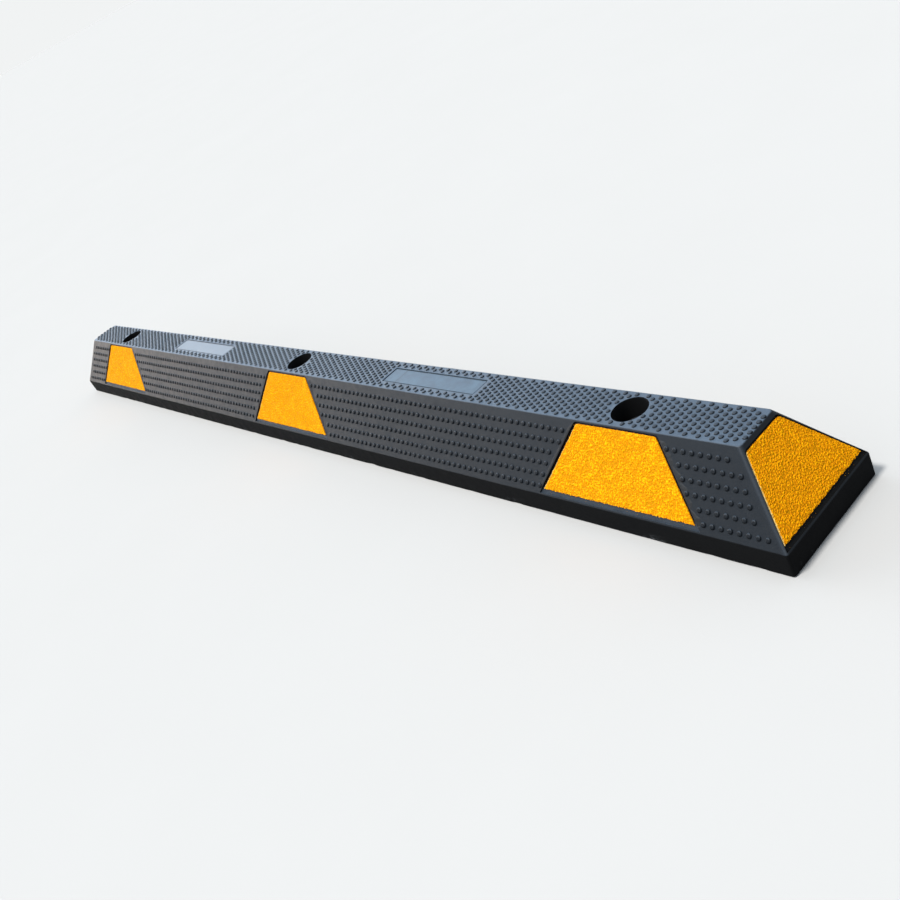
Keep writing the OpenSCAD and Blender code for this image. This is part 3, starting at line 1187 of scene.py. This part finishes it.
# Just below the bar, so that the two don't share a plane
FLOOR_Z = -0.2
FLOOR_SIGNS = ((-1, -1), (1, -1), (1, 1), (-1, 1))
floor_corners = [(x * FLOOR_HALF, y * FLOOR_HALF, FLOOR_Z) for x, y in FLOOR_SIGNS]
floor = piece("floor", floor_corners, [(0, 1, 2, 3)], [pale_floor()], None)

# What the camera sees instead of the sky
BACKDROP = rgb(0.880, 0.896, 0.898)


def studio_world():
    """A soft bluish sky over a dimmer horizon, warm in front of the bar and grey behind it.

    It is warmest and much brighter at the far left, and a little dimmer at the right.
    """
    world = bpy.data.worlds.new("studio")
    world.use_nodes = True
    g = Graph(world.node_tree)
    toward = g.node("SeparateXYZ", {0: g.node("TexCoord").outputs["Generated"]}).outputs
    beyond_left = g.ramp(toward["X"], -0.95, -0.84, 1.0, 0.0)
    warm = g.mix(beyond_left, rgb(0.74, 0.71, 0.66), rgb(0.90, 0.70, 0.53))
    horizon = g.mix(g.ramp(toward["Y"], -0.1, 0.1), warm, rgb(0.68, 0.71, 0.72))
    sky = g.mix(g.ramp(toward["Z"], 0.03, 0.38), horizon, rgb(0.78, 0.89, 1.03))
    sky = g.mix(1.0, sky, g.ramp(toward["X"], -1.0, -0.70, 7.0, 1.0), "MULTIPLY")
    sky = g.mix(1.0, sky, g.ramp(toward["X"], -0.3, 0.9, 1.0, 0.6), "MULTIPLY")
    seen = g.node("LightPath").outputs["Is Camera Ray"]
    g.put(g.nodes["Background"].inputs["Color"], g.mix(seen, sky, BACKDROP))
    bpy.context.scene.world = world


def sun(name, toward, strength, spread):
    """A soft distant light that comes from the given direction."""
    data = bpy.data.lights.new(name, "SUN")
    data.energy = strength
    data.angle = math.radians(spread)
    lamp = bpy.data.objects.new(name, data)
    lamp.rotation_mode = "QUATERNION"
    lamp.rotation_quaternion = Vector(toward).to_track_quat("Z", "Y")
    bpy.context.scene.collection.objects.link(lamp)


studio_world()
sun("key", (-0.12, -0.42, 0.90), strength=3.7, spread=14)
bpy.context.scene.view_settings.view_transform = "Standard"


def studio_camera(azimuth, elevation, roll, place, focal):
    """Azimuth 0 looks along +Y; roll turns about the line of sight; place is in metres."""
    a, e, r = (math.radians(v) for v in (azimuth, elevation, roll))
    forward = Vector((-math.sin(a) * math.cos(e), math.cos(a) * math.cos(e), -math.sin(e)))
    level = forward.cross(Vector((0, 0, 1))).normalized()
    upright = level.cross(forward)
    right = math.cos(r) * level + math.sin(r) * upright
    up = -math.sin(r) * level + math.cos(r) * upright
    data = bpy.data.cameras.new("camera")
    data.sensor_width = 36
    data.lens = focal
    data.clip_start = 0.01
    data.clip_end = 200
    camera = bpy.data.objects.new("camera", data)
    camera.matrix_world = Matrix((
        (right.x, up.x, -forward.x, place[0]),
        (right.y, up.y, -forward.y, place[1]),
        (right.z, up.z, -forward.z, place[2]),
        (0, 0, 0, 1)))
    bpy.context.scene.collection.objects.link(camera)
    return camera


bpy.context.scene.camera = studio_camera(
    azimuth=61.44, elevation=28.66, roll=-28.64, place=(1.2986, -0.5599, 0.6230), focal=41.25)
